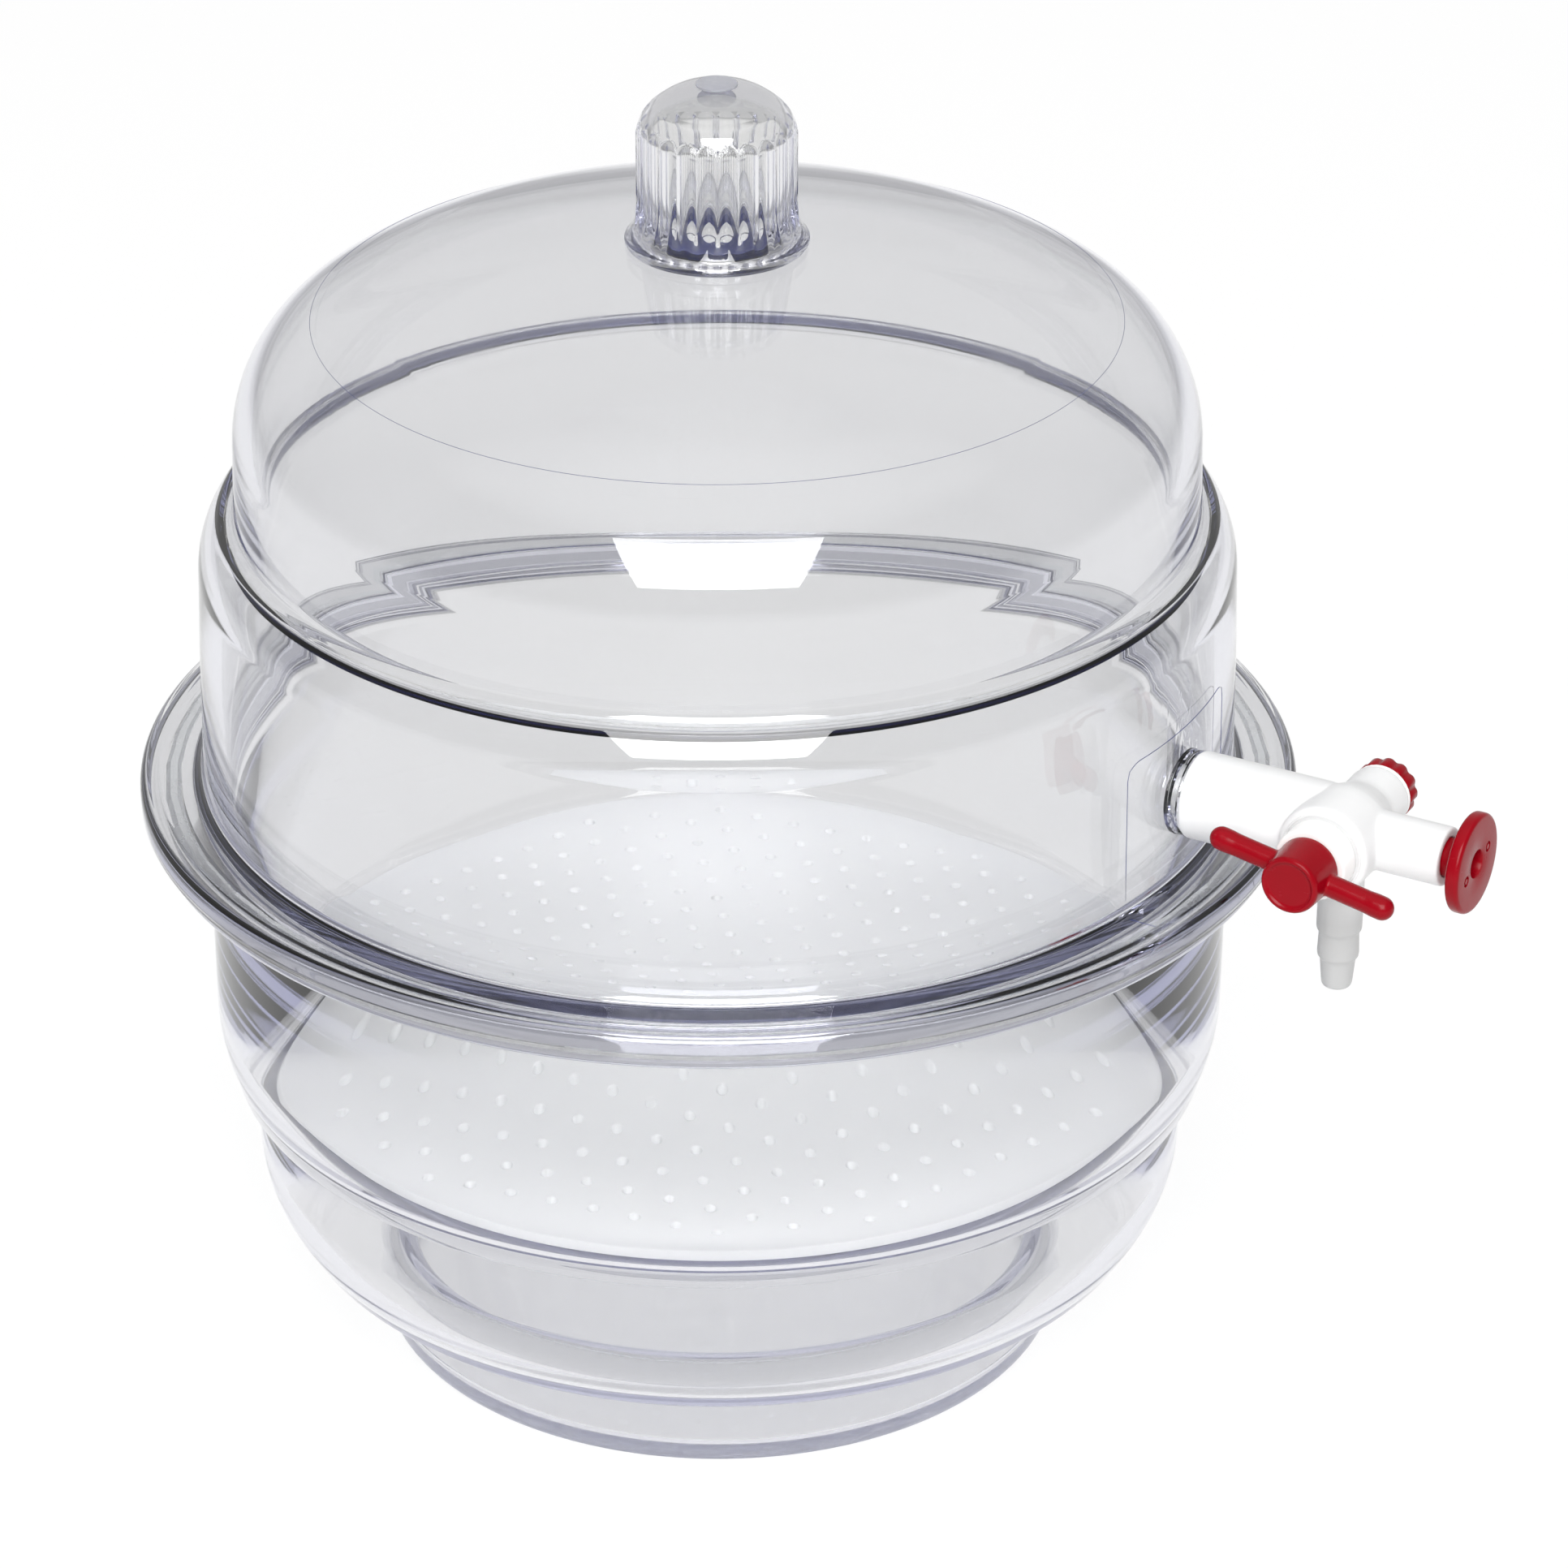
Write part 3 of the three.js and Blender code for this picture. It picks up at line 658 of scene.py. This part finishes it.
# ---- stopcock ----
def stopcock():
    arm = place(lathe("stopcock_white", [
        (0, 136.3), (10.6, 136.3), (11.15, 136.9), (11.15, 171), (9, VALVE_X + 3), (0, VALVE_X + 3),
    ], 96), "X", (0, 0, PORT_Z))
    spigot = place(lathe("spigot", rod(6.3, 127.4, 140, 0.4), 64), "X", (0, 0, PORT_Z))
    vent = place(lathe("vent", rod(7.5, VALVE_X, 204.6, 0.5), 64), "X", (0, 0, PORT_Z))
    axis = (VALVE_X, 0, PORT_Z)
    barrel = place(lathe("barrel", [
        (0, -13.3), (10.2, -13.3), *arc(10.6, -11.9, 1.4, -90, 0, 4), (12, -1), (11.8, 1.5),
        (11.1, 4), (9.6, 8), (8.5, 10.8), (8.25, 12.5), (8.25, 20.7), (7.75, 21.2), (0, 21.2),
    ], 96), "Y", axis)
    barb = place(lathe("barb", [
        (0, -43.3), (3.1, -43.3), (3.7, -42.9), (3.9, -42), (4.5, -35.2), (5.15, -34.6),
        (5.25, -33.9), (5.05, -28.4), (5.05, -27.7), (5.6, -27.2), (5.7, -26.5), (5.75, -12),
        (6.8, -8.5), (0, -8.5),
    ], 72), "Z", axis)
    combine(arm, [spigot, vent, barrel, barb], "UNION")
    cuts = [
        place(lathe("plug_bore", [(0, -14.3), (7.5, -14.3), (7.5, -13.3), (5.5, 21.2), (5.5, 22.2),
                                  (0, 22.2)], 64), "Y", axis),
        place(lathe("port_bore", rod(2.5, 126, VALVE_X - 3), 32), "X", (0, 0, PORT_Z)),
        place(lathe("vent_bore", rod(2.5, VALVE_X + 3, 188), 32), "X", (0, 0, PORT_Z)),
        place(lathe("screw_bore", rod(5.05, 186, 206), 48), "X", (0, 0, PORT_Z)),
        place(lathe("drain", rod(2.2, -45, -4), 32), "Z", axis),
    ]
    combine(arm, cuts, "DIFFERENCE")
    moulded(arm, 0.4, 5)
    finish_piece(arm, WHITE, "white_polypropylene", "stopcock", "stopcock_body")


def dial():
    """A low ring round the plug on the barrel's front face."""
    axis = (VALVE_X, 0, PORT_Z)
    ring = place(lathe("dial_ring", [
        (10.0, -13.55), (10.35, -13.55), (10.45, -13.4), (10.45, -13.1), (9.9, -13.1), (9.9, -13.4),
    ], 96), "Y", axis)
    finish_piece(soften(ring), WHITE, "white_polypropylene", "stopcock")


def handle():
    axis = (VALVE_X, 0, PORT_Z)
    front = HANDLE_LOW[1] / MM
    hub = place(lathe("handle_red", [
        (0, front + 0.7), (5.8, front + 0.7), (6.2, front + 0.1), (6.5, front), (7.0, front + 0.1),
        (7.5, front + 0.8), (7.95, -21.2), (7.7, -20.9), (0, -20.9),
    ], 96), "Y", axis)
    reach = 24.9
    thick = 3.0
    bar = [*arc(0, thick - reach, thick, -90, 0, 8), (thick, 5 - reach), (thick - 0.15, 7 - reach),
           (thick - 0.15, reach - 7), (thick, reach - 5), *arc(0, reach - thick, thick, 0, 90, 8)]
    bar[0] = (0, -reach)
    bar[-1] = (0, reach)
    arms = place(lathe("arms", bar, 48), "X", (0, 0, 0), HANDLE_DEG)
    arms.data.transform(Matrix.Translation(Vector((VALVE_X, -25, PORT_Z)) * MM))
    combine(hub, [arms], "UNION")
    socket = place(lathe("socket", rod(5.6, -27.3, -19), 4), "Y", axis, HANDLE_DEG + 45)
    combine(hub, [socket], "DIFFERENCE")
    moulded(hub, 0.28, 4)
    finish_piece(hub, RED, "red_polypropylene", "valve", "plug_handle")


def nut():
    axis = (VALVE_X, 0, PORT_Z)
    near, far = NUT_LOW[1] / MM, NUT_HIGH[1] / MM

    def lobes(r, y, turn):
        return r if r < 7 else r - 0.6 * abs(math.sin(turn * 6)) ** 3

    obj = place(lathe("nut_red", [
        (6, near), (7.6, near), (7.9, near + 0.2), (8, near + 0.5), (8, far - 0.8),
        (7.8, far - 0.3), (7.4, far), (3.75, far), (3.75, near + 1.9), (6, near + 1.9),
    ], 192, lobes), "Y", axis)
    finish_piece(soften(obj, 40), RED, "red_polypropylene", "nut", "retaining_nut")


def vent_screw():
    face = SCREW_HIGH[0] / MM
    tip = SCREW_LOW[0] / MM
    rear = face - 3.5
    head = 12.75
    obj = place(lathe("vent_screw_red", [
        (0, tip), (2.2, tip), (3.7, tip + 1.5), (4.95, tip + 1.5), (4.95, tip + 2.4),
        (3.7, tip + 2.4), (3.7, tip + 4.8), (4.95, tip + 4.8), (4.95, rear - 0.6),
        (5.4, rear), (head - 0.9, rear), *arc(head - 0.9, rear + 0.9, 0.9, -90, 0, 4),
        *arc(head - 1.1, face - 1.1, 1.1, 0, 90, 5), (8, face - 0.1), (4.2, face - 0.1),
        (3.7, face - 0.3), (3.45, face - 0.8), (3.4, rear - 1.5), (0, rear - 1.5),
    ], 128), "X", (0, 0, PORT_Z))
    marks = []
    for side in (1, -1):
        spot = (0, 6.4 * side, PORT_Z + 1.9 * side)
        marks.append(place(lathe("mark", [(0.7, face - 0.45), (1.4, face - 0.45), (1.4, face + 1),
                                          (0.7, face + 1)], 32), "X", spot))
    combine(obj, marks, "DIFFERENCE")
    finish_piece(soften(obj), RED, "red_polypropylene", "vent_knob", "vent_screw")


def plug():
    axis = (VALVE_X, 0, PORT_Z)
    obj = place(lathe("plug_white", [
        (0, -27), (3.6, -27), (3.6, -20.6), (8.5, -20.6), *arc(8.8, -20, 0.6, -90, 0, 4),
        (9.4, -14.2), (9, -13.65), (7.4, -13.6), (7.4, -13.3), (5.4, 20.4), (3.6, 20.4),
        (3.6, 28), (3.4, 28.2), (0, 28.2),
    ], 96), "Y", axis)
    finish_piece(soften(obj), PTFE, "white_ptfe", "valve", "valve_plug")


bowl()
lid()
knob()
mould_lines()
plate()
stopcock()
dial()
handle()
nut()
vent_screw()
plug()
for node, mat in (("flange_o_ring", SILICONE), ("port_o_ring", RUBBER), ("tension_washer", PTFE),
                  ("tension_o_ring", RUBBER), ("vent_o_ring", RUBBER)):
    for material_slot in frame["nodes"][node].material_slots:
        material_slot.material = mat


# ---- stage, light and camera ----
def falloff(nodes, links):
    """The paper's glow by distance from the object."""
    coordinates = nodes.new("ShaderNodeTexCoord")
    distance = nodes.new("ShaderNodeVectorMath")
    distance.operation = "LENGTH"
    fade = nodes.new("ShaderNodeMapRange")
    fade.interpolation_type = "SMOOTHSTEP"
    fade.inputs["From Min"].default_value = FLOOR_BRIGHT
    fade.inputs["From Max"].default_value = FLOOR_BRIGHT + 1
    fade.inputs["To Min"].default_value = FLOOR_GLOW
    fade.inputs["To Max"].default_value = FLOOR_GLOW / 2
    links.new(coordinates.outputs["Object"], distance.inputs[0])
    links.new(distance.outputs["Value"], fade.inputs["Value"])
    return fade.outputs["Result"]


def floor():
    """White paper, lit from below as well, so that only a faint contact shadow is left."""
    half = 6.0 / MM
    obj = new_object("floor", [(-half, -half, 0), (half, -half, 0), (half, half, 0), (-half, half, 0)],
                     [(0, 1, 2, 3)])
    obj.location.z = -0.0002
    mat, nodes, links, shader = material("floor_paper")
    shader.inputs["Base Color"].default_value = (PAPER, PAPER, PAPER, 1)
    shader.inputs["Roughness"].default_value = 0.9
    shader.inputs["Specular IOR Level"].default_value = 0.0
    shader.inputs["Emission Color"].default_value = (1, 1, 1, 1)
    links.new(falloff(nodes, links), shader.inputs["Emission Strength"])
    obj.data.materials.append(mat)


def world():
    """A studio: a bright backdrop behind the object, dark sides and front, and a pale ceiling."""
    scene_world = bpy.data.worlds.new("studio")
    bpy.context.scene.world = scene_world
    scene_world.use_nodes = True
    nodes, links = scene_world.node_tree.nodes, scene_world.node_tree.links
    coordinates = nodes.new("ShaderNodeTexCoord")
    turn = math.radians(VIEW_AZIMUTH)

    def graded(direction, stops):
        """Grey levels by the angle to a direction: stops are (cosine, level) pairs."""
        cosine = nodes.new("ShaderNodeVectorMath")
        cosine.operation = "DOT_PRODUCT"
        cosine.inputs[1].default_value = direction
        ramp = nodes.new("ShaderNodeValToRGB")
        first, last = ramp.color_ramp.elements
        first.position, first.color = stops[0][0], (*[stops[0][1]] * 3, 1)
        last.position, last.color = stops[-1][0], (*[stops[-1][1]] * 3, 1)
        for position, level in stops[1:-1]:
            ramp.color_ramp.elements.new(position).color = (level, level, level, 1)
        links.new(coordinates.outputs["Generated"], cosine.inputs[0])
        links.new(cosine.outputs["Value"], ramp.inputs["Fac"])
        return ramp.outputs["Color"]

    backdrop = graded((-math.sin(turn), math.cos(turn), 0),
                      [(0.3, ROOM_SIDE), (0.75, BACKDROP), (1, BACKDROP)])
    ceiling = graded((0, 0, 1), [(0.4, 0), (0.75, CEILING * 0.3), (0.95, CEILING)])
    total = nodes.new("ShaderNodeMix")
    total.data_type = "RGBA"
    total.blend_type = "LIGHTEN"
    total.inputs["Factor"].default_value = 1
    links.new(backdrop, total.inputs["A"])
    links.new(ceiling, total.inputs["B"])
    links.new(total.outputs["Result"], nodes["Background"].inputs["Color"])


def softbox(name, azimuth, low, high, half_width, radiance):
    """A rectangular light facing the object. Its lower and upper edges are (distance, height)
    pairs, and the azimuth is from -Y towards +X."""
    turn = math.radians(azimuth)
    out = Vector((math.sin(turn), -math.cos(turn), 0))
    side = Vector((math.cos(turn), math.sin(turn), 0))
    bottom = out * low[0] + Vector((0, 0, low[1]))
    top = out * high[0] + Vector((0, 0, high[1]))
    up = (top - bottom).normalized()
    back = side.cross(up)
    light = bpy.data.lights.new(name, "AREA")
    light.shape = "RECTANGLE"
    light.size = 2 * half_width
    light.size_y = (top - bottom).length
    light.energy = radiance * math.pi * light.size * light.size_y
    obj = bpy.data.objects.new(name, light)
    facing = Matrix((side, up, back)).transposed().to_4x4()
    obj.matrix_world = Matrix.Translation((bottom + top) / 2) @ facing
    bpy.context.scene.collection.objects.link(obj)


def camera():
    rise, turn = math.radians(VIEW_ELEVATION), math.radians(VIEW_AZIMUTH)
    aim = turn - math.radians(VIEW_YAW)
    eye = Vector((math.sin(turn) * math.cos(rise), -math.cos(turn) * math.cos(rise), math.sin(rise)))
    forward = Vector((-math.sin(aim) * math.cos(rise), math.cos(aim) * math.cos(rise), -math.sin(rise)))
    right = forward.cross(Vector((0, 0, 1))).normalized()
    up = right.cross(forward)
    basis = Matrix((right, up, -forward)).transposed().to_4x4()
    data = bpy.data.cameras.new("camera")
    data.lens = LENS
    data.sensor_width = SENSOR
    obj = bpy.data.objects.new("camera", data)
    centre = Vector((0, 0, VIEW_TARGET_Z))
    roll = Matrix.Rotation(math.radians(VIEW_ROLL), 4, "Z")
    obj.matrix_world = Matrix.Translation(centre + eye * VIEW_DISTANCE) @ basis @ roll
    bpy.context.scene.collection.objects.link(obj)
    bpy.context.scene.camera = obj


floor()
world()
softbox("front_box", VIEW_AZIMUTH, BOX_LOW, BOX_HIGH, BOX_HALF_WIDTH, FRONT_BOX)
camera()
scene = bpy.context.scene
scene.view_settings.view_transform = "Standard"
scene.cycles.max_bounces = 32
scene.cycles.transmission_bounces = 32
scene.cycles.glossy_bounces = 12
scene.cycles.blur_glossy = 0.0          # or the plate behind the clear walls comes out too dark
